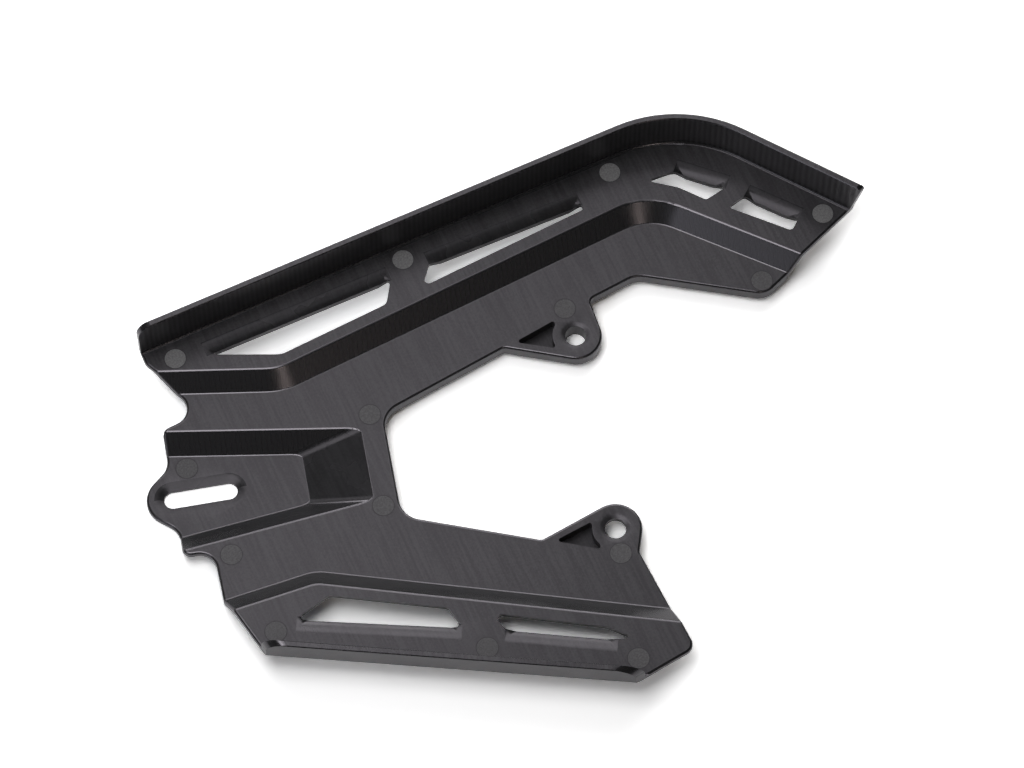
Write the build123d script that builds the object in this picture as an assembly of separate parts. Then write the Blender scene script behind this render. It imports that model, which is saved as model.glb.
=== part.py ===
from build123d import *
import os
from math import asin, atan2, cos, degrees, hypot, radians, sin, tan

# Motorcycle chain guard, moulded in one piece and seen from its inner side.
# X runs from the front slot to the rear, Y up across the guard, Z out of its inner face.
# The origin lies midway between the two ear holes, in the middle of the panel's wall.
# Lengths are in millimetres and angles in degrees.

# Panel wall, and the steps from the middle panel up to the two covers
WALL = 2.6
STEP_RISE = 6.6
STEP_RUN = 8.4
FOLD_RADIUS = 2.0
FOOT_RADIUS = 1.2

# Foot of the upper step: its front corner, its three runs and its two bends
UPPER_STEP = (-136.0, 44.6)
UPPER_STEP_FRONT_ANGLE = 8.6
UPPER_STEP_REAR_ANGLE = 17.6
UPPER_STEP_LENGTH = 188.8
UPPER_STEP_TAIL_ANGLE = 34.3
UPPER_STEP_RADIUS = 32.0
UPPER_STEP_TAIL_RADIUS = 26.0

# Foot of the lower step: its front corner, its two runs and its bend
LOWER_STEP = (-136.0, -45.5)
LOWER_STEP_FRONT_ANGLE = 9.0
LOWER_STEP_REAR_ANGLE = 16.8
LOWER_STEP_RADIUS = 20.0

# Top flange, along its inner face: two runs that meet in a wide bend
TOP_BEND = (66.2, 141.8)
TOP_BEND_RADIUS = 62.0
TOP_FRONT_ANGLE = 14.9
TOP_FRONT_LENGTH = 271.9
TOP_REAR_ANGLE = 38.9
TOP_REAR_LENGTH = 89.6
TOP_REAR_OVERHANG = 4.2
TOP_FLANGE_HEIGHT = 23.0
TOP_FRONT_CORNER = 7.0
TOP_REAR_CORNER = 2.5

# Bottom flange, along its outer face
LOW_FRONT = (-164.0, -84.0)
LOW_ANGLE = 14.85
LOW_LENGTH = 163.6
LOW_FLANGE_HEIGHT = 12.0
LOW_FLANGE_CORNER = 7.5

# Wall and rounds of both flanges
FLANGE_WALL = 2.8
FLANGE_FOOT_RADIUS = 1.5
FLANGE_BACK_RADIUS = 2.5
RIM_BEVEL = 0.4

# Rounded inner edge that runs all the way round the guard
EDGE_RADIUS = 1.2

# Mounting ears, with their bolt holes and the cored hollow in front of each hole.
# The hollow's corners are (distance behind the hole along X, distance out from the fork).
EAR_SPACING = 97.4
EAR_RADIUS = 12.1
EAR_THICKNESS = 7.5
EAR_ROOT_X = -33.5
UPPER_NOTCH = (9.6, 65.3)
LOWER_NOTCH = (8.5, -62.1)
EAR_MARGIN = 4.0
EAR_HOLE_DIAMETER = 9.6
SEAT_DIAMETER = 14.6
SEAT_DEPTH = 0.8
BOLT_HEAD_DIAMETER = 14.0
BOLT_HEAD_DEPTH = 4.0
BOSS_DIAMETER = 17.0
BOSS_DEPTH = 9.6
CORE_APEX = (-28.0, 1.4)
CORE_FAR = (-8.0, 9.2)
CORE_NEAR = (-10.4, -4.8)
CORE_CORNER_RADIUS = 1.0
CORE_BOSS_RADIUS = 10.6
CORE_DEPTH = 5.6

# Fork opening between the ears, and the lip that stiffens its edge
FORK_BACK_X = -93.2
FORK_HALF_WIDTH = 25.7
FORK_ANGLE = 20.7
FORK_CORNER_RADIUS = 11.0
LIP_WALL = 2.4
LIP_BEVEL = 1.4

# Slot in its shallow dish, and the sunk pocket that carries it
SLOT_X = -180.5
SLOT_Y = 3.7
SLOT_LENGTH = 33.5
SLOT_WIDTH = 8.2
SLOT_EAR_RADIUS = 12.0
SLOT_EAR_ANGLE = 50.0
SLOT_EAR_BLEND = 9.0
DISH_WIDTH = 4.4
DISH_DEPTH = 1.2
POCKET_DEPTH = 7.0
POCKET_RUN = 9.2
POCKET_X = -160.0
POCKET_TOP_Y = 29.1
POCKET_TOP_ANGLE = 9.1
POCKET_LOW_Y = -21.6
POCKET_LOW_ANGLE = 5.9
RAMP_TOP_X = -104.3
RAMP_RUN = 28.0
VALLEY_RADIUS = 7.0

# Other corners of the outline
FRONT_X = -192.9
FRONT_TOP_Y = 35.4
FRONT_LOW_Y = -27.7
FRONT_CORNER_RADIUS = 4.0
SCALLOP_RADIUS = 8.0
UPPER_SCALLOP = (-174.4, 41.1)
LOWER_SCALLOP_X = -179.2
ELBOW = (32.7, 73.6)
ELBOW_RADIUS = 12.0
ROOT_RADIUS = 3.0

# Corners beside the flange ends, as (distance past the end of the flange, distance in from it)
UPPER_SHOULDER = (0.4, 5.6)
UPPER_SHOULDER_RADIUS = 6.0
LOWER_SHOULDER = (21.9, 26.2)
LOWER_SHOULDER_RADIUS = 3.0
LOW_REAR_CORNER = (25.6, 18.8)
LOW_REAR_RADIUS = 5.0
REAR_CORNER = (-15.8, 54.0)
REAR_CORNER_RADIUS = 10.0

# Windows: corners as (distance along the flange, distance in from it, corner radius).
# The first two corners are the ends of the edge nearest the flange.
FRONT_WINDOWS = [
    [
        (153.5, 13.8, 1.5),
        (TOP_FRONT_LENGTH - 26.4, 13.1, 1.0),
        (TOP_FRONT_LENGTH - 57.4, 27.6, 10.0),
        (160.7, 24.8, 4.0),
    ],
    [(57.9, 16.4, 1.2), (134.7, 14.5, 2.5), (142.4, 23.9, 2.0), (58.7, 19.4, 1.2)],
]
REAR_WINDOWS = [
    [(8.3, 21.1, 8.0), (33.5, 16.9, 1.2), (28.4, 27.1, 1.5), (14.3, 27.6, 15.0), (-0.6, 31.7, 1.0)],
    [
        (42.9, 16.8, 3.0),
        (TOP_REAR_LENGTH - 19.4, 15.8, 1.2),
        (TOP_REAR_LENGTH - 19.1, 22.3, 2.0),
        (39.1, 25.7, 1.0),
    ],
]
LOW_WINDOWS = [
    [(11.6, 18.4, 1.2), (85.3, 20.4, 1.5), (78.1, 29.0, 2.0), (24.8, 30.8, 6.0)],
    [
        (104.4, 20.8, 1.5),
        (LOW_LENGTH - 9.0, 20.1, 1.2),
        (LOW_LENGTH - 2.6, 21.3, 0.8),
        (LOW_LENGTH - 14.5, 25.4, 6.0),
        (97.7, 27.9, 2.0),
    ],
]

# Rolled edge of each window on its flange side, where the wall curves away from the inner face
ROLL_RADIUS = 14.0
ROLL_ANGLE = 30.0
ROLL_START_ANGLE = 3.0
ROLL_END_RUN = 5.0
ROLL_CLEARANCE = 1.0

# Size of the working blocks, well past the guard on every side, and the slack when picking edges by place
BLOCK = 700.0
SLACK = 0.01


def polar(start, angle, length):
    """Point at an angle and a length from another point."""
    return (start[0] + length * cos(radians(angle)), start[1] + length * sin(radians(angle)))


def tangent_angle(point, centre, radius, side):
    """Direction from a point along its tangent to a circle, on the left (1) or the right (-1)."""
    across = centre[0] - point[0]
    along = centre[1] - point[1]
    return degrees(atan2(along, across)) + side * degrees(asin(radius / hypot(across, along)))


def meet(p, p_angle, q, q_angle):
    """Point where two lines cross, each given by a point and a direction."""
    p_x, p_y = cos(radians(p_angle)), sin(radians(p_angle))
    q_x, q_y = cos(radians(q_angle)), sin(radians(q_angle))
    reach = ((q[0] - p[0]) * q_y - (q[1] - p[1]) * q_x) / (p_x * q_y - p_y * q_x)
    return (p[0] + reach * p_x, p[1] + reach * p_y)


def region(corners):
    """Face inside an outline of corners with radii. Two rounds share an edge too short for both."""
    points = [Vector(*point) for point, radius in corners]
    edges = [after - point for point, after in zip(points, points[1:] + points[:1])]
    turns = [tan(radians(before.get_angle(edge)) / 2) for before, edge in zip(edges[-1:] + edges, edges)]
    reach = [radius * turn for (point, radius), turn in zip(corners, turns)]
    needs = [first + second for first, second in zip(reach, reach[1:] + reach[:1])]
    shares = [min(1, edge.length / need) if need else 1 for edge, need in zip(edges, needs)]
    radii = [radius * min(pair) for (point, radius), pair in zip(corners, zip(shares[-1:] + shares, shares))]
    return make_face(FilletPolyline(*points, radius=radii, close=True))


def edges_at(shape, height):
    """Edges of a shape that lie level at a height."""
    return shape.edges().filter_by_position(Axis.Z, height - SLACK, height + SLACK)


def edges_on(shape, outline, height):
    """Edges of a shape that follow an outline at a height."""
    path = Pos(0, 0, height) * outline.wire()
    level = edges_at(shape, height)
    return [edge for edge in level if max(path.distance_to(edge @ 0), path.distance_to(edge @ 0.5)) < SLACK]


# The three flange runs: where each starts, its direction, and the side its panel lies on
front_run = (TOP_BEND, 180 + TOP_FRONT_ANGLE, 1)
rear_run = (TOP_BEND, -TOP_REAR_ANGLE, -1)
low_run = (LOW_FRONT, -LOW_ANGLE, 1)


def beside(run, along, inward):
    """Point at a distance along a flange run and a distance in from it."""
    start, angle, side = run
    return polar(polar(start, angle, along), angle + 90 * side, inward)


# Reference points of the outline
upper_hole = (0.0, EAR_SPACING / 2)
lower_hole = (0.0, -EAR_SPACING / 2)
root_y = FORK_HALF_WIDTH + (EAR_ROOT_X - FORK_BACK_X) * tan(radians(FORK_ANGLE))
upper_root = (EAR_ROOT_X, root_y)
lower_root = (EAR_ROOT_X, -root_y)
upper_tip = meet(
    upper_root, tangent_angle(upper_root, upper_hole, EAR_RADIUS, -1),
    UPPER_NOTCH, tangent_angle(UPPER_NOTCH, upper_hole, EAR_RADIUS, 1),
)
lower_tip = meet(
    lower_root, tangent_angle(lower_root, lower_hole, EAR_RADIUS, 1),
    LOWER_NOTCH, tangent_angle(LOWER_NOTCH, lower_hole, EAR_RADIUS, -1),
)
top_front = polar(TOP_BEND, 180 + TOP_FRONT_ANGLE, TOP_FRONT_LENGTH)
top_rear = polar(TOP_BEND, -TOP_REAR_ANGLE, TOP_REAR_LENGTH)
top_front_outer = polar(top_front, 90 + TOP_FRONT_ANGLE, FLANGE_WALL)
top_rear_outer = polar(top_rear, 90 - TOP_REAR_ANGLE, FLANGE_WALL)
top_bend_outer = meet(top_front_outer, TOP_FRONT_ANGLE, top_rear_outer, -TOP_REAR_ANGLE)
low_rear = polar(LOW_FRONT, -LOW_ANGLE, LOW_LENGTH)
upper_shoulder = beside(front_run, TOP_FRONT_LENGTH + UPPER_SHOULDER[0], UPPER_SHOULDER[1])
lower_shoulder = beside(low_run, -LOWER_SHOULDER[0], LOWER_SHOULDER[1])
low_rear_corner = beside(low_run, LOW_LENGTH + LOW_REAR_CORNER[0], LOW_REAR_CORNER[1])
rear_corner = beside(rear_run, TOP_REAR_LENGTH + REAR_CORNER[0], REAR_CORNER[1])
upper_bend = polar(UPPER_STEP, UPPER_STEP_REAR_ANGLE, UPPER_STEP_LENGTH)
slot_end_x = SLOT_X - SLOT_LENGTH / 2 + SLOT_WIDTH / 2
slot_tip_x = slot_end_x - SLOT_EAR_RADIUS / cos(radians(SLOT_EAR_ANGLE))
slot_ear_half = (FRONT_X - slot_tip_x) / tan(radians(SLOT_EAR_ANGLE))
step_angle = degrees(atan2(STEP_RISE, STEP_RUN))
wall_shift = WALL * tan(radians(step_angle / 2))
roll_reach = ROLL_RADIUS * sin(radians(ROLL_ANGLE))
roll_depth = ROLL_RADIUS * (1 - cos(radians(ROLL_ANGLE)))

# Outline of the whole guard seen along Z
trim = region([
    (top_front_outer, 0),
    (upper_shoulder, UPPER_SHOULDER_RADIUS),
    (UPPER_SCALLOP, SCALLOP_RADIUS),
    ((FRONT_X, FRONT_TOP_Y), FRONT_CORNER_RADIUS),
    ((FRONT_X, SLOT_Y + slot_ear_half), SLOT_EAR_BLEND),
    ((slot_tip_x, SLOT_Y), SLOT_EAR_RADIUS),
    ((FRONT_X, SLOT_Y - slot_ear_half), SLOT_EAR_BLEND),
    ((FRONT_X, FRONT_LOW_Y), FRONT_CORNER_RADIUS),
    ((LOWER_SCALLOP_X, FRONT_LOW_Y), SCALLOP_RADIUS),
    (lower_shoulder, LOWER_SHOULDER_RADIUS),
    (LOW_FRONT, 0),
    (low_rear, 0),
    (low_rear_corner, LOW_REAR_RADIUS),
    (LOWER_NOTCH, ROOT_RADIUS),
    (lower_tip, EAR_RADIUS),
    (lower_root, ROOT_RADIUS),
    ((FORK_BACK_X, -FORK_HALF_WIDTH), FORK_CORNER_RADIUS),
    ((FORK_BACK_X, FORK_HALF_WIDTH), FORK_CORNER_RADIUS),
    (upper_root, ROOT_RADIUS),
    (upper_tip, EAR_RADIUS),
    (UPPER_NOTCH, ROOT_RADIUS),
    (ELBOW, ELBOW_RADIUS),
    (rear_corner, REAR_CORNER_RADIUS),
    (top_rear_outer, 0),
    (top_bend_outer, TOP_BEND_RADIUS + FLANGE_WALL),
])

# Everything above the foot of the upper step, and everything below the foot of the lower one
upper_cover = region([
    (polar(UPPER_STEP, 180 - UPPER_STEP_FRONT_ANGLE, BLOCK), 0),
    (UPPER_STEP, UPPER_STEP_RADIUS),
    (upper_bend, UPPER_STEP_TAIL_RADIUS),
    (polar(upper_bend, -UPPER_STEP_TAIL_ANGLE, BLOCK), 0),
    ((BLOCK, BLOCK), 0),
    ((-BLOCK, BLOCK), 0),
])
lower_cover = region([
    (polar(LOWER_STEP, 180 + LOWER_STEP_FRONT_ANGLE, BLOCK), 0),
    ((-BLOCK, -BLOCK), 0),
    ((BLOCK, -BLOCK), 0),
    (polar(LOWER_STEP, -LOWER_STEP_REAR_ANGLE, BLOCK), 0),
    (LOWER_STEP, LOWER_STEP_RADIUS),
])

# Everything on the panel side of each flange's inner face
inside_top = region([
    (polar(top_front, 180 + TOP_FRONT_ANGLE, BLOCK), 0),
    ((-BLOCK, -BLOCK), 0),
    ((BLOCK, -BLOCK), 0),
    (polar(top_rear, -TOP_REAR_ANGLE, BLOCK), 0),
    (TOP_BEND, TOP_BEND_RADIUS),
])
inside_low = region([
    (beside(low_run, -BLOCK, FLANGE_WALL), 0),
    (beside(low_run, BLOCK, FLANGE_WALL), 0),
    ((BLOCK, BLOCK), 0),
    ((-BLOCK, BLOCK), 0),
])


def pocket_space(growth, foot_radius):
    """Hollow of the slot pocket below the middle panel: two sloped walls and a long ramp at the rear."""
    top = (POCKET_X, POCKET_TOP_Y + growth)
    low = (POCKET_X, POCKET_LOW_Y - growth)
    ramp_top = RAMP_TOP_X + growth
    mouth = region([
        (polar(top, 180 - POCKET_TOP_ANGLE, BLOCK), 0),
        (polar(low, 180 + POCKET_LOW_ANGLE, BLOCK), 0),
        (polar(low, POCKET_LOW_ANGLE, 2 * (ramp_top - POCKET_X)), 0),
        (polar(top, -POCKET_TOP_ANGLE, 2 * (ramp_top - POCKET_X)), 0),
    ])
    walls = mirror(extrude(mouth, POCKET_DEPTH, taper=degrees(atan2(POCKET_RUN, POCKET_DEPTH))), Plane.XY)
    side = Plane.XZ * make_face(Polyline(
        (-BLOCK, 0), (-BLOCK, -POCKET_DEPTH), (ramp_top - RAMP_RUN, -POCKET_DEPTH), (ramp_top, 0), close=True,
    ))
    space = walls & extrude(side, BLOCK / 2, both=True)
    valleys = space.edges().filter_by_position(Axis.Z, -0.99 * POCKET_DEPTH, -0.01 * POCKET_DEPTH)
    space = fillet(valleys.filter_by_position(Axis.X, POCKET_X, BLOCK), VALLEY_RADIUS)
    floor = edges_at(space, -POCKET_DEPTH)
    return fillet([edge for edge in floor if edge.center().X > -BLOCK / 2], foot_radius)


def panel_block(drop, shift, fold_radius, foot_radius):
    """Block whose upper side is one face of the stepped panel, lowered by a drop."""
    block = Pos(0, 0, -BLOCK / 8) * Box(BLOCK, BLOCK, BLOCK / 4)
    above = Pos(0, 0, STEP_RISE / 2) * Box(BLOCK, BLOCK, STEP_RISE)
    for cover in (upper_cover, lower_cover):
        foot = offset(cover, -shift, kind=Kind.INTERSECTION) if shift else cover
        raised = extrude(foot, STEP_RISE, taper=90 - step_angle)
        if fold_radius:
            raised = fillet(edges_at(raised, STEP_RISE), fold_radius)
        block = block + (raised & above)
    block = fillet([edge for edge in edges_at(block, 0) if abs(edge.center().X) < BLOCK / 2 - 1], foot_radius)
    block = block - pocket_space(shift, foot_radius)
    if fold_radius:
        rear_ends = [(edge, edge.vertices().sort_by(Axis.X)[-1].Y) for edge in edges_at(block, 0)]
        brink = [edge for edge, y in rear_ends if POCKET_LOW_Y - POCKET_RUN < y < POCKET_TOP_Y + POCKET_RUN]
        block = fillet(brink, fold_radius)
    return Pos(0, 0, -drop) * block


def rounded_block(outline, radius, height):
    """Block on an outline from Z 0 up, rounded along its lower edge."""
    block = extrude(outline, height)
    return fillet(block.faces().sort_by(Axis.Z)[0].edges(), radius)


def back_waste(inside):
    """What the round along a flange's back takes off the square lower edge of its outer face."""
    outer = offset(inside, FLANGE_WALL, kind=Kind.INTERSECTION)
    band = outer - offset(outer, -FLANGE_BACK_RADIUS, kind=Kind.INTERSECTION)
    return extrude(band, FLANGE_BACK_RADIUS) - rounded_block(outer, FLANGE_BACK_RADIUS, BLOCK)


def flange(inside, plan, height, ends):
    """Standing flange outside a region: rounded at its foot and upper end corners, with bevelled rims."""
    outer = offset(inside, FLANGE_WALL, kind=Kind.INTERSECTION)
    space = rounded_block(inside, FLANGE_FOOT_RADIUS, 2 * height)
    rim = extrude(outer, RIM_BEVEL, taper=45) - extrude(inside, RIM_BEVEL, taper=-45)
    strip = plan - offset(inside, -FLANGE_FOOT_RADIUS, kind=Kind.INTERSECTION)
    wall = Pos(0, 0, -WALL) * extrude(strip, height + WALL) - space
    wall = wall - Pos(0, 0, height - RIM_BEVEL) * (extrude(strip, RIM_BEVEL) - rim)
    for start, finish, lean, radius in ends:
        edge = Vector(finish[0] - start[0], finish[1] - start[1], 0).normalized()
        frame = Plane((*start, 0), x_dir=edge.cross(Vector(0, 0, 1)), z_dir=edge)
        kept = region([
            ((-3 * height, 3 * height), 0),
            ((0, 3 * height), 0),
            ((0, 0), 0),
            ((lean, -height), radius),
            ((-3 * height, -height), 0),
        ])
        waste = Rectangle(4 * height, 4 * height) - kept
        wall = wall - frame * extrude(waste, BLOCK / 8, both=True)
    return Pos(0, 0, STEP_RISE) * wall


def rolled_edge(run, first, second, radius, drop, overlap):
    """Body above a roll beside a window: an arc across the edge, lowered by a drop, with sloped ends."""
    start = Vector(*beside(run, *first[:2]), STEP_RISE)
    finish = Vector(*beside(run, *second[:2]), STEP_RISE)
    side = run[2]
    low = -drop - roll_depth - ROLL_CLEARANCE
    high = ROLL_CLEARANCE - drop
    box = Rectangle(roll_reach + overlap, high - low)
    box = Pos(side * (overlap - roll_reach) / 2, (low + high) / 2) * box
    arc = Pos(-side * roll_reach, -ROLL_RADIUS * cos(radians(ROLL_START_ANGLE))) * Circle(radius)
    length = (finish - start).length
    slope = ROLL_END_RUN / roll_depth
    ends = make_face(Polyline(
        (-slope * ROLL_CLEARANCE, high),
        (length + slope * ROLL_CLEARANCE, high),
        (length - ROLL_END_RUN - slope * ROLL_CLEARANCE, low),
        (ROLL_END_RUN + slope * ROLL_CLEARANCE, low),
        close=True,
    ))
    across = extrude(Plane.YZ * (box - arc), BLOCK / 4, both=True)
    along = extrude(Plane.XZ * ends, BLOCK / 8, both=True)
    return Plane(start, x_dir=finish - start, z_dir=(0, 0, 1)) * (across & along)


# Stepped panel, cut to the outline
inner_block = panel_block(0, 0, FOLD_RADIUS, FOOT_RADIUS)
outer_block = panel_block(WALL, wall_shift, 0, FOOT_RADIUS + WALL)
guard = (inner_block - outer_block) & (Pos(0, 0, -BLOCK / 4) * extrude(trim, BLOCK / 2))

# Lip round the fork and the arms, the thick ears, and the longer boss behind the upper hole
rear_half = Pos(FORK_BACK_X - FORK_CORNER_RADIUS / 2 + BLOCK / 2, 0) * Rectangle(BLOCK, BLOCK)
lip = ((trim - offset(trim, -LIP_WALL, kind=Kind.INTERSECTION)) & rear_half) - upper_cover - lower_cover
ears = trim & (
    offset(make_face(Polyline(upper_root, upper_tip, UPPER_NOTCH, close=True)), EAR_MARGIN)
    + offset(make_face(Polyline(lower_root, lower_tip, LOWER_NOTCH, close=True)), EAR_MARGIN)
)
stiffener = Pos(0, 0, -EAR_THICKNESS) * extrude(lip + ears, EAR_THICKNESS - WALL / 2)
guard = guard + chamfer(edges_on(stiffener, trim, -EAR_THICKNESS), LIP_BEVEL)
boss = Cylinder(BOSS_DIAMETER / 2, BOSS_DEPTH - WALL / 2, align=(Align.CENTER, Align.CENTER, Align.MIN))
guard = guard + Pos(*upper_hole, -BOSS_DEPTH) * boss

# Rounded inner edge all the way round
guard = fillet(edges_on(guard, trim, 0), EDGE_RADIUS)

# Flanges along the top and the bottom, each rounded along its back. The top one leans out at its rear end.
overhang = make_face(Polyline(
    beside(rear_run, TOP_REAR_LENGTH / 2, -FLANGE_WALL),
    beside(rear_run, TOP_REAR_LENGTH + 2 * TOP_REAR_OVERHANG, -FLANGE_WALL),
    beside(rear_run, TOP_REAR_LENGTH + 2 * TOP_REAR_OVERHANG, FLANGE_WALL),
    beside(rear_run, TOP_REAR_LENGTH / 2, FLANGE_WALL),
    close=True,
))
guard = guard + flange(inside_top, trim + overhang, TOP_FLANGE_HEIGHT, [
    (top_front_outer, upper_shoulder, 0, TOP_FRONT_CORNER),
    (rear_corner, top_rear_outer, TOP_REAR_OVERHANG, TOP_REAR_CORNER),
])
guard = guard + flange(inside_low, trim, LOW_FLANGE_HEIGHT, [
    (lower_shoulder, LOW_FRONT, 0, LOW_FLANGE_CORNER),
    (low_rear, low_rear_corner, 0, LOW_FLANGE_CORNER),
])
for inside in (inside_top, inside_low):
    guard = guard - Pos(0, 0, STEP_RISE - WALL) * back_waste(inside)

# Ear holes with their seats, and the cored hollows
for hole, outward in ((upper_hole, 1), (lower_hole, -1)):
    bore = Pos(*hole, 0) * Cylinder(EAR_HOLE_DIAMETER / 2, 4 * EAR_THICKNESS)
    seat = Pos(*hole, -SEAT_DEPTH / 2) * Cone(EAR_HOLE_DIAMETER / 2, SEAT_DIAMETER / 2, SEAT_DEPTH)
    corners = [((x, outward * y), CORE_CORNER_RADIUS) for x, y in (CORE_APEX, CORE_FAR, CORE_NEAR)]
    core = Pos(*hole) * (region(corners) - Circle(CORE_BOSS_RADIUS))
    guard = guard - bore - seat - Pos(0, 0, -CORE_DEPTH) * extrude(core, 2 * CORE_DEPTH)

# Space for the bolt head behind the lower ear
head = Pos(*lower_hole, -EAR_THICKNESS) * Cylinder(BOLT_HEAD_DIAMETER / 2, 2 * BOLT_HEAD_DEPTH)
guard = guard - head

# Slot in its dish
slot = SlotOverall(SLOT_LENGTH, SLOT_WIDTH)
dish = SlotOverall(SLOT_LENGTH + 2 * DISH_WIDTH, SLOT_WIDTH + 2 * DISH_WIDTH)
dish = mirror(extrude(dish, DISH_DEPTH, taper=degrees(atan2(DISH_WIDTH, DISH_DEPTH))), Plane.XY)
guard = guard - Pos(SLOT_X, SLOT_Y, -POCKET_DEPTH) * (dish + extrude(slot, 2 * WALL, both=True))

# Windows along the flanges, each rolled on its flange side at an even wall thickness
behind = []
before = []
for run, windows in ((front_run, FRONT_WINDOWS), (rear_run, REAR_WINDOWS), (low_run, LOW_WINDOWS)):
    for corners in windows:
        opening = region([(beside(run, along, inward), radius) for along, inward, radius in corners])
        behind.append(rolled_edge(run, corners[0], corners[1], ROLL_RADIUS - WALL, WALL, 0))
        before.append(rolled_edge(run, corners[0], corners[1], ROLL_RADIUS, 0, ROLL_CLEARANCE))
        before.append(extrude(opening, 2 * STEP_RISE, both=True))
guard = guard + behind - before

# Heights above are from the inner face of the middle panel, and the origin is half a wall below it
guard = Pos(0, 0, WALL / 2) * guard

os.makedirs("parts", exist_ok=True)
export_step(guard, "parts/chain_guard.step")
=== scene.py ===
from itertools import pairwise
from math import cos, pi, radians, sin

import bmesh
import bpy
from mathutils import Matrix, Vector


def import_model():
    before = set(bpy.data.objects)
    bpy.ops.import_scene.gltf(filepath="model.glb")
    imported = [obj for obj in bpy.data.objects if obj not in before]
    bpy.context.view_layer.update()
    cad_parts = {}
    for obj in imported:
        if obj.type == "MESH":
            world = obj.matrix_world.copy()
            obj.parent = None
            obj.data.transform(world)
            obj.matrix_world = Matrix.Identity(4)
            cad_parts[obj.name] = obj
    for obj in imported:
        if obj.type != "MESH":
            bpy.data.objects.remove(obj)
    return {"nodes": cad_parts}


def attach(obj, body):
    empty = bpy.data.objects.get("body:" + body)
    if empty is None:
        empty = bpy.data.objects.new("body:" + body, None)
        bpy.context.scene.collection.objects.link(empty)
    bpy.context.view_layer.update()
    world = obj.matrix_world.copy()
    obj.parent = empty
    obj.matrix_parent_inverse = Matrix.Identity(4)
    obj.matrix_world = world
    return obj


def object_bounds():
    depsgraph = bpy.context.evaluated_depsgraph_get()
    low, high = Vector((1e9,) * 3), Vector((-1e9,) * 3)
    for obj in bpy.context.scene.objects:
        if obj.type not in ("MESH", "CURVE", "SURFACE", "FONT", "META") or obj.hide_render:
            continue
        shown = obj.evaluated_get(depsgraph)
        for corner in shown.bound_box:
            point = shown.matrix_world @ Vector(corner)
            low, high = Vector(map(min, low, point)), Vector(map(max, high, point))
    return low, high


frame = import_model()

cad_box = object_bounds()
guard = frame["nodes"]["chain_guard"]
scene = bpy.context.scene

# The guard lies in its own frame, in metres: X to the rear, Y across it to the tall flange and Z out of
# its inner face. What is measured along a flange, and the places of the pin marks, are in millimetres.
MM = 0.001

# Levels of the inner face, and how far off a level a face lies that belongs to another one
PANEL_Z = 1.3 * MM
COVER_Z = PANEL_Z + 6.6 * MM
POCKET_Z = PANEL_Z - 7.0 * MM
LEVEL_GAP = 1.0 * MM

# Flange runs: where each starts, its direction in degrees, and whether its cover lies left (1) or right (-1)
FRONT_RUN = ((66.2, 141.8), 194.9, 1)
REAR_RUN = ((66.2, 141.8), -38.9, -1)
LOW_RUN = ((-164.0, -84.0), -14.85, 1)

# Stretches with windows, from the first rolled edge of a run to its last, and how far in the rolls reach
UPPER_ROLLS = [(FRONT_RUN, 57.0, 246.0), (REAR_RUN, 7.0, 71.0)]
LOWER_ROLLS = [(LOW_RUN, 11.0, 155.0)]
ROLL_REACH = 22.0

# Middle of the front slot, how far the dish round it reaches, and where the pocket ends
SLOT_MIDDLE = (-180.5 * MM, 3.7 * MM)
DISH_REACH = (23.0 * MM, 10.0 * MM)
POCKET_END = -100.0 * MM

# Distance of the ear holes from the middle, and how far the seats round them reach
EAR_HOLE_Y = 48.7 * MM
SEAT_REACH = 9.0 * MM

# How far up a normal points, at least, on flat faces, on folds and on sloped walls
FLAT = 0.9995
FOLDED = 0.80
SLOPED = 0.2

# How far the normals of the pocket's ramp lean to the front
RAMP_LEAN = -0.15

# Edges look sharp where their faces turn by more than an angle, and points that coincide are shaded as one
SHARP_ANGLE = radians(28)
MERGE_DISTANCE = 0.001 * MM

# Ejector pin marks: thin discs that stand a hair proud of the face, with a dark gap round each
MARK_RADIUS = 4.8 * MM
MARK_RISE = 0.03 * MM
GAP_WIDTH = 0.35 * MM
GAP_RISE = 0.015 * MM
DISC_DEPTH = 0.3 * MM
DISC_SIDES = 48

# Places of the marks: along a flange run and in from it, or as points of the plan
FRONT_MARKS = [(259.0, 9.1), (144.5, 7.5), (39.2, 7.3)]
REAR_MARKS = [(78.9, 7.8)]
LOW_MARKS = [(3.1, 11.4), (97.1, 11.2), (164.1, 11.5)]
PANEL_MARKS = [(89.2, 60.6), (-2.4, 62.7), (-99.1, 26.1), (-100.7, -19.4), (-171.6, -30.8), (0.0, -61.3)]
POCKET_MARKS = [(-184.7, 17.6)]

# Near-black shades of the plastic, from dark to light, its trace of blue and the tint of its gloss
MEAN_BLACK = 0.014
FLANGE_BLACK = 0.020
FOLD_BLACKS = ((0.008, 0.008, 0.0083, 1), (0.014, 0.014, 0.0145, 1))
OUTER_BLACKS = ((0.011, 0.011, 0.0113, 1), (0.024, 0.024, 0.0245, 1))
BLUE_TRACE = 1.04
GLOSS_TINT = (1.0, 0.94, 1.03, 1)

# Greys of the pin marks on the panel, of those on the upper cover, which are made lighter as painted light
# for how the light falls there, and of the gap round them
PIN_GREYS = (0.030, 0.072)
LIT_COVER_PIN_GREYS = (0.08, 0.17)
GAP_GREYS = (0.004, 0.010)

# Tooling streaks: their direction in the plan, in degrees, on the inner face and on its steps and flanges,
# the length and width of streaks and of the bands among them, and the span of values that shows them
STREAK_ANGLE = -76.0
CROSS_ANGLE = 90.0
STREAK_SIZE = (30 * MM, 1.5 * MM)
BAND_SIZE = (90 * MM, 7 * MM)
STREAK_SPAN = (0.42, 0.58)

# Cutter marks: their spacing, that of a wave texture of scale 1, and the span of values that shows them
CHATTER_PITCH = 2.3 * MM
WAVE_PITCH = pi / 10
CHATTER_SPAN = (0.2, 0.8)

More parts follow.
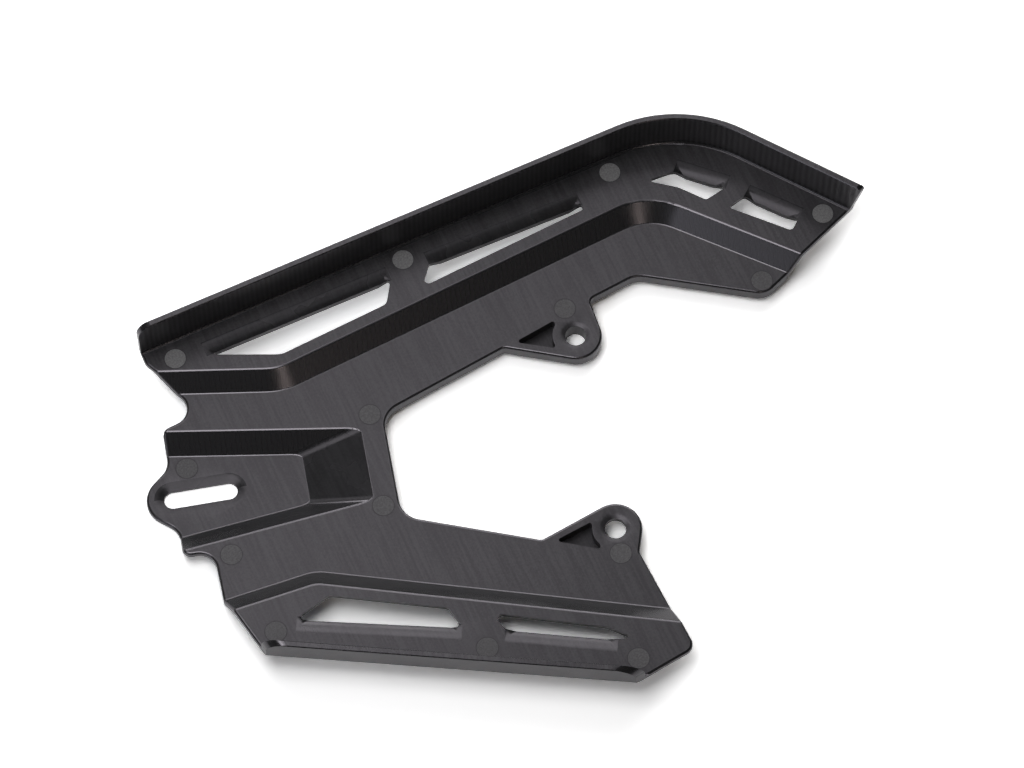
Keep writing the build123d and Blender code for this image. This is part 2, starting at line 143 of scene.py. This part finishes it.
# Sizes of the grain and of the cloudy changes in gloss
INNER_GRAIN = 1.0 * MM
FOLD_GRAIN = 2.0 * MM
FINE_GRAIN = 0.8 * MM
INNER_CLOUDS = 30 * MM
OUTER_CLOUDS = 40 * MM

# Heights of the tooling marks, of the outer side's grain and of the grain on the pin marks
TOOL_RELIEF = 0.05 * MM
OUTER_RELIEF = 0.08 * MM
PIN_RELIEF = 0.10 * MM

# Roughness of the folds, of the outer side and of the pin marks, and how far it changes on the inner side
FOLD_ROUGHNESS = (0.19, 0.22)
OUTER_ROUGHNESS = (0.40, 0.50)
PIN_ROUGHNESS = 0.62
ROUGH_CHANGE = 0.05

# Span that holds most values of a noise texture
NOISE_SPAN = (0.3, 0.7)

# Camera, as in the photograph
PICTURE_WIDTH = 1024
FOCAL_PIXELS = 5000
SENSOR_WIDTH = 36.0
VIEW_AZIMUTH = radians(-10.3)
VIEW_ELEVATION = radians(65.0)
VIEW_DISTANCE = 2.2725
VIEW_TARGET = Vector((-33.0 * MM, 29.6 * MM, PANEL_Z))

# Table: half its width, its grey, what it gains where it is seen, and where it fades to plain white
TABLE_HALF = 6.0
TABLE_GREY = 0.92
TABLE_GAIN = 0.8
WHITE_FADE = (0.4, 0.9)

# Light of the room, in front of the guard and behind it, and the span of directions between the two
ROOM_LIGHT = (0.004, 0.025)
ROOM_SPAN = (-0.5, 0.5)


class Nodes:
    """Short way to add and join the nodes of one node tree."""

    def __init__(self, tree):
        self.tree = tree

    def add(self, kind, sockets=None, **settings):
        """New node with its settings, and with values for some of its input sockets."""
        node = self.tree.nodes.new(kind)
        for name, value in settings.items():
            setattr(node, name, value)
        for name, value in (sockets or {}).items():
            node.inputs[name].default_value = value
        return node

    def link(self, output, target):
        self.tree.links.new(output, target)

    def place(self):
        """Coordinates of the surface in its object's own frame."""
        return self.add("ShaderNodeTexCoord").outputs["Object"]

    def math(self, operation, first, second):
        """Operation on two values, each of them a number or the output of a node."""
        node = self.add("ShaderNodeMath", operation=operation)
        for socket, value in zip(node.inputs, (first, second)):
            if isinstance(value, (int, float)):
                socket.default_value = value
            else:
                self.link(value, socket)
        return node.outputs[0]

    def weighted(self, *parts):
        """Sum of several values, each times its weight."""
        shares = [self.math("MULTIPLY", value, weight) for value, weight in parts]
        total = shares[0]
        for share in shares[1:]:
            total = self.math("ADD", total, share)
        return total

    def spread(self, value, span, to_span=(0, 1)):
        """Value brought from one span of numbers to another."""
        sockets = {"From Min": span[0], "From Max": span[1], "To Min": to_span[0], "To Max": to_span[1]}
        node = self.add("ShaderNodeMapRange", sockets)
        self.link(value, node.inputs["Value"])
        return node.outputs[0]

    def noise(self, vector, size, detail=2.0, roughness=0.5):
        sockets = {"Scale": 1 / size, "Detail": detail, "Roughness": roughness}
        node = self.add("ShaderNodeTexNoise", sockets)
        self.link(vector, node.inputs["Vector"])
        return node.outputs[0]

    def streaks(self, vector, angle, size, detail=2.0, roughness=0.5):
        """Noise drawn out along one direction of the plan."""
        length, width = size
        sockets = {"Rotation": (0, 0, radians(angle)), "Scale": (length, width, length)}
        turned = self.add("ShaderNodeMapping", sockets, vector_type="TEXTURE")
        self.link(vector, turned.inputs["Vector"])
        return self.noise(turned.outputs[0], 1.0, detail, roughness)

    def sum_of(self, first, second):
        """Shader that adds up two shaders."""
        node = self.add("ShaderNodeAddShader")
        self.link(first.outputs[0], node.inputs[0])
        self.link(second.outputs[0], node.inputs[1])
        return node


def grey(level, blue=1.0):
    return (level, level, level * blue, 1)


def new_material(name):
    material = bpy.data.materials.new(name)
    material.use_nodes = True
    shader = material.node_tree.nodes["Principled BSDF"]
    shader.inputs["Specular Tint"].default_value = GLOSS_TINT
    return material, Nodes(material.node_tree), shader


def shade(n, shader, value, dark, light):
    """Base colour between two shades."""
    ramp = n.add("ShaderNodeValToRGB")
    ramp.color_ramp.elements[0].color = dark
    ramp.color_ramp.elements[1].color = light
    n.link(value, ramp.inputs[0])
    n.link(ramp.outputs[0], shader.inputs["Base Color"])


def bump(n, shader, height, strength, distance):
    node = n.add("ShaderNodeBump", {"Strength": strength, "Distance": distance})
    n.link(height, node.inputs["Height"])
    n.link(node.outputs[0], shader.inputs["Normal"])


def moulded_face(name, rough, contrast, depth, gloss=0.5, angle=STREAK_ANGLE):
    """Satin black plastic with fine tooling streaks along one direction."""
    material, n, shader = new_material(name)
    place = n.place()
    streaks = n.streaks(place, angle, STREAK_SIZE, detail=3.0, roughness=0.6)
    bands = n.streaks(place, angle, BAND_SIZE)
    grain = n.noise(place, INNER_GRAIN, roughness=0.7)
    clouds = n.noise(place, INNER_CLOUDS, detail=3.0)
    marks = n.weighted((streaks, 0.45), (grain, 0.35), (bands, 0.20))
    dark = grey(MEAN_BLACK - contrast, BLUE_TRACE)
    light = grey(MEAN_BLACK + contrast, BLUE_TRACE)
    shade(n, shader, n.spread(marks, STREAK_SPAN), dark, light)
    roughness = n.spread(clouds, NOISE_SPAN, (rough - ROUGH_CHANGE, rough + ROUGH_CHANGE))
    n.link(roughness, shader.inputs["Roughness"])
    shader.inputs["Specular IOR Level"].default_value = gloss
    bump(n, shader, marks, depth, TOOL_RELIEF)
    return material


def chattered_face(name, middle, rough, contrast, depth):
    """Satin black plastic with the upright, evenly spaced marks of the cutter that made the tool."""
    material, n, shader = new_material(name)
    place = n.place()
    sockets = {"Scale": WAVE_PITCH / CHATTER_PITCH, "Distortion": 0.6, "Detail Scale": 0.5}
    ridges = n.add("ShaderNodeTexWave", sockets)
    n.link(place, ridges.inputs["Vector"])
    streaks = n.streaks(place, CROSS_ANGLE, STREAK_SIZE, detail=3.0, roughness=0.6)
    marks = n.weighted((ridges.outputs["Fac"], 0.5), (streaks, 0.5))
    dark = grey(middle - contrast, BLUE_TRACE)
    light = grey(middle + contrast, BLUE_TRACE)
    shade(n, shader, n.spread(marks, CHATTER_SPAN), dark, light)
    shader.inputs["Roughness"].default_value = rough
    bump(n, shader, marks, depth, TOOL_RELIEF)
    return material


def polished_fold(name):
    """Smoother plastic of the folds and creases, where the tool was polished."""
    material, n, shader = new_material(name)
    grain = n.noise(n.place(), FOLD_GRAIN, detail=3.0, roughness=0.6)
    shade(n, shader, grain, *FOLD_BLACKS)
    n.link(n.spread(grain, NOISE_SPAN, FOLD_ROUGHNESS), shader.inputs["Roughness"])
    shader.inputs["Specular IOR Level"].default_value = 1.0
    return material


def outer_grain(name):
    """Fine even moulded grain of the outer side."""
    material, n, shader = new_material(name)
    place = n.place()
    grain = n.noise(place, FINE_GRAIN, detail=3.0, roughness=0.6)
    clouds = n.noise(place, OUTER_CLOUDS)
    shade(n, shader, n.spread(grain, NOISE_SPAN), *OUTER_BLACKS)
    n.link(n.spread(clouds, NOISE_SPAN, OUTER_ROUGHNESS), shader.inputs["Roughness"])
    bump(n, shader, grain, 0.4, OUTER_RELIEF)
    return material


def pin_grain(name, dark, light):
    """Rough grain of the ejector pin marks and of the gap round them."""
    material, n, shader = new_material(name)
    grain = n.noise(n.place(), FINE_GRAIN, detail=3.0, roughness=0.7)
    shade(n, shader, n.spread(grain, NOISE_SPAN), grey(dark), grey(light))
    shader.inputs["Roughness"].default_value = PIN_ROUGHNESS
    bump(n, shader, grain, 0.5, PIN_RELIEF)
    return material


def white_table(name):
    """Matt white that looks brighter than it is lit, and fades to plain white away from the guard."""
    material, n, shader = new_material(name)
    shader.inputs["Base Color"].default_value = grey(TABLE_GREY)
    shader.inputs["Roughness"].default_value = 0.9
    shader.inputs["Specular IOR Level"].default_value = 0.0
    path = n.add("ShaderNodeLightPath")
    seen = n.math("MAXIMUM", path.outputs["Is Camera Ray"], path.outputs["Is Glossy Ray"])
    seen = n.math("MAXIMUM", seen, path.outputs["Is Transmission Ray"])
    gain = n.add("ShaderNodeBsdfDiffuse")
    n.link(n.math("MULTIPLY", seen, TABLE_GAIN), gain.inputs["Color"])
    away = n.add("ShaderNodeVectorMath", operation="LENGTH")
    n.link(n.place(), away.inputs[0])
    fade = n.spread(away.outputs["Value"], WHITE_FADE)
    white = n.add("ShaderNodeEmission")
    n.link(n.math("MULTIPLY", seen, fade), white.inputs["Strength"])
    surface = n.sum_of(n.sum_of(shader, gain), white)
    n.link(surface.outputs[0], n.tree.nodes["Material Output"].inputs["Surface"])
    return material


def smooth_shading(piece):
    """Joins split points of the mesh for shading only, and keeps edges sharp where faces turn strongly."""
    tree = bpy.data.node_groups.new("shade_by_angle", "GeometryNodeTree")
    for direction in ("INPUT", "OUTPUT"):
        tree.interface.new_socket("Geometry", in_out=direction, socket_type="NodeSocketGeometry")
    n = Nodes(tree)
    start = n.add("NodeGroupInput")
    strip = n.add("GeometryNodeRemoveAttribute", {"Name": "custom_normal"})
    merge = n.add("GeometryNodeMergeByDistance", {"Distance": MERGE_DISTANCE})
    smooth = n.add("GeometryNodeSetShadeSmooth", domain="FACE")
    sharp = n.add("GeometryNodeSetShadeSmooth", {"Shade Smooth": False}, domain="EDGE")
    end = n.add("NodeGroupOutput")
    for before, after in pairwise((start, strip, merge, smooth, sharp, end)):
        n.link(before.outputs[0], after.inputs["Geometry"])
    angle = n.add("GeometryNodeInputMeshEdgeAngle")
    turned = n.add("FunctionNodeCompare", operation="GREATER_THAN")
    turned.inputs[1].default_value = SHARP_ANGLE
    n.link(angle.outputs["Unsigned Angle"], turned.inputs[0])
    n.link(turned.outputs[0], sharp.inputs["Selection"])
    by_angle = piece.modifiers.new("shade_by_angle", "NODES")
    by_angle.node_group = tree
    weighted = piece.modifiers.new("weighted_normal", "WEIGHTED_NORMAL")
    weighted.mode = "FACE_AREA"
    weighted.weight = 100
    weighted.keep_sharp = True


def beside(run, along, inward):
    """Point at a distance along a flange run and a distance in from it, in metres."""
    (x, y), angle, side = run
    turn = radians(angle)
    inwards = turn + side * pi / 2
    return Vector((
        (x + along * cos(turn) + inward * cos(inwards)) * MM,
        (y + along * sin(turn) + inward * sin(inwards)) * MM,
    ))


def run_place(run, point):
    """Distance of a point along a flange run and distance in from it, in millimetres."""
    (x, y), angle, side = run
    turn = radians(angle)
    across = point[0] / MM - x
    up = point[1] / MM - y
    along = across * cos(turn) + up * sin(turn)
    inward = side * (up * cos(turn) - across * sin(turn))
    return along, inward


def on_roll(point, rolls):
    """Whether a point of the plan lies on the rolled window edges beside some flange runs."""
    for run, first, last in rolls:
        along, inward = run_place(run, point)
        if first < along < last and 0 < inward < ROLL_REACH:
            return True
    return False


def in_dish(point):
    """Whether a point of the plan lies in the dish round the slot."""
    return abs(point[0] - SLOT_MIDDLE[0]) < DISH_REACH[0] and abs(point[1] - SLOT_MIDDLE[1]) < DISH_REACH[1]


def in_seat(point):
    """Whether a point of the plan lies in the seat round an ear's bolt hole."""
    return any(Vector((point[0], point[1] - hole)).length < SEAT_REACH for hole in (EAR_HOLE_Y, -EAR_HOLE_Y))


def fold_finish(face):
    """Finish of a face that leans a little: a fold, a rolled edge, or a dish, seat or ramp."""
    if on_roll(face.center, UPPER_ROLLS):
        return "quiet_face"
    if in_dish(face.center):
        return "quiet_face" if face.normal.y < 0 else "inner_face"
    if in_seat(face.center):
        return "inner_face"
    if face.normal.x < RAMP_LEAN and face.center.z < PANEL_Z:
        return "quiet_face"
    return "lower_roll" if on_roll(face.center, LOWER_ROLLS) else "polished_fold"


def finish_of(face):
    """Name of the finish that a face of the guard has."""
    up = face.normal.z
    on_flange = face.center.z > COVER_Z + LEVEL_GAP
    if up > FLAT:
        if on_flange:
            return "flange_rim"
        in_hollow = face.center.z < PANEL_Z - LEVEL_GAP and face.center.x > POCKET_END
        return "hollow_floor" if in_hollow else "inner_face"
    if up > FOLDED:
        return fold_finish(face)
    if up > SLOPED:
        return "step_face"
    faces_in = face.center.y > 0 and face.normal.y < 0
    return "flange_face" if on_flange and faces_in and up >= -SLOPED else "outer_grain"


def dress_guard():
    """Gives each face of the guard its finish."""
    finishes = [
        outer_grain("outer_grain"),
        moulded_face("inner_face", rough=0.36, contrast=0.008, depth=0.7),
        chattered_face("step_face", MEAN_BLACK, rough=0.26, contrast=0.0008, depth=0.03),
        chattered_face("flange_face", FLANGE_BLACK, rough=0.34, contrast=0.012, depth=1.0),
        polished_fold("polished_fold"),
        moulded_face("quiet_face", rough=0.26, contrast=0.003, depth=0.2, gloss=0.25),
        moulded_face("hollow_floor", rough=0.42, contrast=0.005, depth=0.4, gloss=0.28),
        moulded_face("flange_rim", rough=0.30, contrast=0.012, depth=0.5, gloss=0.6, angle=CROSS_ANGLE),
        moulded_face("lower_roll", rough=0.32, contrast=0.006, depth=0.5, gloss=0.6),
    ]
    guard.data.materials.clear()
    for finish in finishes:
        guard.data.materials.append(finish)
    order = [finish.name for finish in finishes]
    for face in guard.data.polygons:
        face.material_index = order.index(finish_of(face))
    smooth_shading(guard)


def mesh_of(name, shape):
    mesh = bpy.data.meshes.new(name)
    shape.to_mesh(mesh)
    shape.free()
    return mesh


def put(name, data):
    """New object in the scene."""
    thing = bpy.data.objects.new(name, data)
    scene.collection.objects.link(thing)
    return thing


def pin_marks(name, spots, radius, rise, material):
    """Thin discs in the inner face where the ejector pins stood."""
    shape = bmesh.new()
    for point, level in spots:
        made = bmesh.ops.create_cone(
            shape, cap_ends=True, segments=DISC_SIDES, radius1=radius, radius2=radius, depth=DISC_DEPTH,
        )
        bmesh.ops.translate(shape, vec=(*point, level + rise - DISC_DEPTH / 2), verts=made["verts"])
    piece = put(name, mesh_of(name, shape))
    piece.data.materials.append(material)
    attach(piece, "root")


def mark_guard():
    """Sets the pin marks and their gaps into the panel, the pocket and the covers."""
    panel_spots = [(Vector(point) * MM, PANEL_Z) for point in PANEL_MARKS]
    panel_spots += [(Vector(point) * MM, POCKET_Z) for point in POCKET_MARKS]
    panel_spots += [(beside(LOW_RUN, *mark), COVER_Z) for mark in LOW_MARKS]
    cover_spots = [(beside(FRONT_RUN, *mark), COVER_Z) for mark in FRONT_MARKS]
    cover_spots += [(beside(REAR_RUN, *mark), COVER_Z) for mark in REAR_MARKS]
    all_spots = panel_spots + cover_spots
    gap_radius = MARK_RADIUS + GAP_WIDTH
    pin_marks("panel_marks", panel_spots, MARK_RADIUS, MARK_RISE, pin_grain("pin_grain", *PIN_GREYS))
    # The marks on the upper cover get a lighter copy of the pin grain, which is painted light.
    lit_cover_grain = pin_grain("lit_cover_pin_grain", *LIT_COVER_PIN_GREYS)
    pin_marks("cover_marks", cover_spots, MARK_RADIUS, MARK_RISE, lit_cover_grain)
    pin_marks("mark_rims", all_spots, gap_radius, GAP_RISE, pin_grain("pin_gap", *GAP_GREYS))


def aim(thing, direction, distance):
    """Sets a camera or lamp at a distance from the guard in some direction, turned towards it."""
    thing.location = VIEW_TARGET + direction * distance
    thing.rotation_euler = (-direction).to_track_quat("-Z", "Y").to_euler()


def camera():
    """Camera that sees the guard as the photograph does."""
    view = bpy.data.cameras.new("camera")
    view.sensor_width = SENSOR_WIDTH
    view.lens = FOCAL_PIXELS / PICTURE_WIDTH * SENSOR_WIDTH
    scene.camera = put("camera", view)
    back = Vector((
        sin(VIEW_AZIMUTH) * cos(VIEW_ELEVATION),
        -cos(VIEW_AZIMUTH) * cos(VIEW_ELEVATION),
        sin(VIEW_ELEVATION),
    ))
    aim(scene.camera, back, VIEW_DISTANCE)


def softbox(name, direction, distance, size, radiance, colour=(1, 1, 1)):
    """Rectangular lamp aimed at the guard, with the brightness that its face shows."""
    lamp = bpy.data.lights.new(name, "AREA")
    lamp.shape = "RECTANGLE"
    lamp.size, lamp.size_y = size
    lamp.energy = radiance * pi * size[0] * size[1]
    lamp.color = colour
    holder = put(name, lamp)
    holder.visible_camera = False
    aim(holder, Vector(direction).normalized(), distance)


def floor():
    """White table under the guard, which keeps its shadow."""
    shape = bmesh.new()
    bmesh.ops.create_grid(shape, x_segments=1, y_segments=1, size=TABLE_HALF)
    piece = put("floor", mesh_of("floor", shape))
    piece.location.z = cad_box[0][2]
    piece.data.materials.append(white_table("white_table"))


def world():
    """Faint room light, brighter behind the guard than in front, and white where the camera sees it."""
    sky = bpy.data.worlds.new("room")
    scene.world = sky
    sky.use_nodes = True
    n = Nodes(sky.node_tree)
    background = n.tree.nodes["Background"]
    background.inputs["Color"].default_value = grey(1)
    way = n.add("ShaderNodeSeparateXYZ")
    n.link(n.add("ShaderNodeTexCoord").outputs["Generated"], way.inputs[0])
    room = n.spread(way.outputs["Y"], ROOM_SPAN, ROOM_LIGHT)
    seen = n.add("ShaderNodeLightPath").outputs["Is Camera Ray"]
    n.link(n.math("MAXIMUM", room, seen), background.inputs["Strength"])


dress_guard()
mark_guard()
camera()

# Lamps: the direction of each from the guard, its distance, its width and height, and its brightness
softbox("top_box", (-0.24, -0.05, 0.97), 1.2, (0.66, 0.60), 5.0)
softbox("back_box", (0.05, 0.66, 0.75), 1.7, (2.1, 0.6), 2.4)
softbox("low_back_box", (0.15, 0.90, 0.40), 1.7, (1.6, 0.4), 4.5)
softbox("near_back_box", (-0.034, 0.397, 0.918), 0.79, (0.42, 0.30), 1.3)
softbox("left_box", (-0.72, -0.5, 0.5), 1.6, (0.7, 0.7), 3.2, (0.92, 0.95, 1.0))
softbox("warm_box", (0.15, -0.75, 0.62), 1.6, (0.2, 0.4), 6.0, (1.0, 0.88, 0.78))
floor()
world()

scene.view_settings.view_transform = "Standard"
